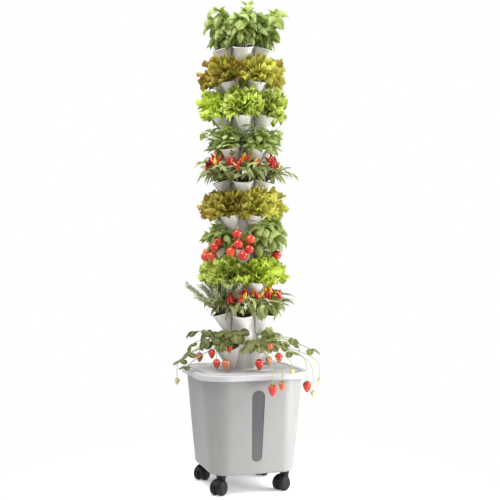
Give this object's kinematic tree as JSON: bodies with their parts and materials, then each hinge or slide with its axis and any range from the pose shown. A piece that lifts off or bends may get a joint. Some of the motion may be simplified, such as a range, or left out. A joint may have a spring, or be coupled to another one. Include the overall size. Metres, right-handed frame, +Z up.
{
  "type": "hydroponic tower",
  "caption": "Vertical hydroponic growing tower: planted stacked tiers over a lidded water tank with a level window, on swivel casters.",
  "frame": {"origin": "on the floor, on the tower's vertical axis", "axes": "+Z up along the tower, -Y towards the front with the level window, +X to the right seen from the front"},
  "size_m": [0.4032, 0.3671, 1.4346],
  "materials": {
    "tank_plastic": "smooth satin moulding, pale warm grey",
    "lid_plastic": "smooth satin moulding, near white",
    "tier_plastic": "smooth satin moulding, white",
    "window_plastic": "smoked clear strip, mid grey",
    "net_pot_plastic": "black moulding",
    "pump_plastic": "black moulding",
    "pipe_plastic": "white pipe",
    "grommet_rubber": "black rubber",
    "steel": "bright steel pin",
    "growing_medium": "dark brown crumbly medium",
    "caster_plastic": "black nylon moulding",
    "wheel_rubber": "black tread, slightly worn",
    "basil_leaf": "glossy soft leaves, mid green",
    "oak_lettuce_leaf": "frilled leaves, olive green with bronze red edges",
    "lettuce_leaf": "frilled leaves, bright yellow green",
    "mint_leaf": "wrinkled toothed leaves, dark green",
    "chilli_leaf": "slender smooth leaves, dark green",
    "tomato_leaf": "soft lobed leaves, green",
    "rosemary_leaf": "grey green needles",
    "strawberry_leaf": "toothed leaflets, green",
    "chilli_skin": "glossy red and yellow pods",
    "tomato_skin": "glossy red skin",
    "strawberry_skin": "glossy red skin with pale seeds"
  },
  "bodies": {
    "tower": {"tank": "tank_plastic", "level_window": "window_plastic", "lid": "lid_plastic", "flap_pin": "steel", "cable_grommet": "grommet_rubber", "tower_base": "tier_plastic", "pump": "pump_plastic", "riser_pipe": "pipe_plastic", "top_cap": "tier_plastic", "tier_01": "tier_plastic", "tier_02": "tier_plastic", "tier_03": "tier_plastic", "tier_04": "tier_plastic", "tier_05": "tier_plastic", "tier_06": "tier_plastic", "tier_07": "tier_plastic", "tier_08": "tier_plastic", "tier_09": "tier_plastic", "tier_10": "tier_plastic", "net_pots_01": "net_pot_plastic", "net_pots_02": "net_pot_plastic", "net_pots_03": "net_pot_plastic", "net_pots_04": "net_pot_plastic", "net_pots_05": "net_pot_plastic", "net_pots_06": "net_pot_plastic", "net_pots_07": "net_pot_plastic", "net_pots_08": "net_pot_plastic", "net_pots_09": "net_pot_plastic", "net_pots_10": "net_pot_plastic", "growing_medium": "growing_medium", "plants_01_basil": "basil_leaf", "plants_02_oak_lettuce": "oak_lettuce_leaf", "plants_03_lettuce": "lettuce_leaf", "plants_04_mint": "mint_leaf", "plants_05_chilli": "chilli_leaf", "plants_06_oak_lettuce": "oak_lettuce_leaf", "plants_07_tomato": "tomato_leaf", "plants_08_lettuce": "lettuce_leaf", "plants_09_rosemary": "rosemary_leaf", "plants_10_strawberry": "strawberry_leaf", "chilli_pods": "chilli_skin", "cherry_tomatoes": "tomato_skin", "strawberries": "strawberry_skin"},
    "flap": {"filler_flap": "lid_plastic"},
    "caster_fl": {"caster_fl": "caster_plastic", "axle_fl": "steel"},
    "wheel_fl_a": {"wheel_fl_a": "wheel_rubber"},
    "wheel_fl_b": {"wheel_fl_b": "wheel_rubber"},
    "caster_fr": {"caster_fr": "caster_plastic", "axle_fr": "steel"},
    "wheel_fr_a": {"wheel_fr_a": "wheel_rubber"},
    "wheel_fr_b": {"wheel_fr_b": "wheel_rubber"},
    "caster_bl": {"caster_bl": "caster_plastic", "axle_bl": "steel"},
    "wheel_bl_a": {"wheel_bl_a": "wheel_rubber"},
    "wheel_bl_b": {"wheel_bl_b": "wheel_rubber"},
    "caster_br": {"caster_br": "caster_plastic", "axle_br": "steel"},
    "wheel_br_a": {"wheel_br_a": "wheel_rubber"},
    "wheel_br_b": {"wheel_br_b": "wheel_rubber"}
  },
  "joints": [
    {"name": "flap_hinge", "type": "hinge", "parent": "tower", "child": "flap", "pos_m": [0.097, 0.14, 0.3544], "axis": [-1, 0, 0], "range_deg": [0, 100]},
    {"name": "swivel_fl", "type": "hinge", "parent": "tower", "child": "caster_fl", "pos_m": [-0.096, -0.096, 0.05], "axis": [0, 0, 1], "continuous": true},
    {"name": "roll_fl_a", "type": "hinge", "parent": "caster_fl", "child": "wheel_fl_a", "pos_m": [-0.10643, -0.10607, 0.0215], "axis": [0.6947, -0.7193, 0], "continuous": true},
    {"name": "roll_fl_b", "type": "hinge", "parent": "caster_fl", "child": "wheel_fl_b", "pos_m": [-0.10643, -0.10607, 0.0215], "axis": [0.6947, -0.7193, 0], "continuous": true},
    {"name": "swivel_fr", "type": "hinge", "parent": "tower", "child": "caster_fr", "pos_m": [0.096, -0.096, 0.05], "axis": [0, 0, 1], "continuous": true},
    {"name": "roll_fr_a", "type": "hinge", "parent": "caster_fr", "child": "wheel_fr_a", "pos_m": [0.0837, -0.10368, 0.0215], "axis": [0.5299, -0.848, 0], "continuous": true},
    {"name": "roll_fr_b", "type": "hinge", "parent": "caster_fr", "child": "wheel_fr_b", "pos_m": [0.0837, -0.10368, 0.0215], "axis": [0.5299, -0.848, 0], "continuous": true},
    {"name": "swivel_bl", "type": "hinge", "parent": "tower", "child": "caster_bl", "pos_m": [-0.096, 0.096, 0.05], "axis": [0, 0, 1], "continuous": true},
    {"name": "roll_bl_a", "type": "hinge", "parent": "caster_bl", "child": "wheel_bl_a", "pos_m": [-0.1057, 0.08522, 0.0215], "axis": [0.7431, -0.6691, 0], "continuous": true},
    {"name": "roll_bl_b", "type": "hinge", "parent": "caster_bl", "child": "wheel_bl_b", "pos_m": [-0.1057, 0.08522, 0.0215], "axis": [0.7431, -0.6691, 0], "continuous": true},
    {"name": "swivel_br", "type": "hinge", "parent": "tower", "child": "caster_br", "pos_m": [0.096, 0.096, 0.05], "axis": [0, 0, 1], "continuous": true},
    {"name": "roll_br_a", "type": "hinge", "parent": "caster_br", "child": "wheel_br_a", "pos_m": [0.08489, 0.08668, 0.0215], "axis": [0.6428, -0.766, 0], "continuous": true},
    {"name": "roll_br_b", "type": "hinge", "parent": "caster_br", "child": "wheel_br_b", "pos_m": [0.08489, 0.08668, 0.0215], "axis": [0.6428, -0.766, 0], "continuous": true}
  ]
}
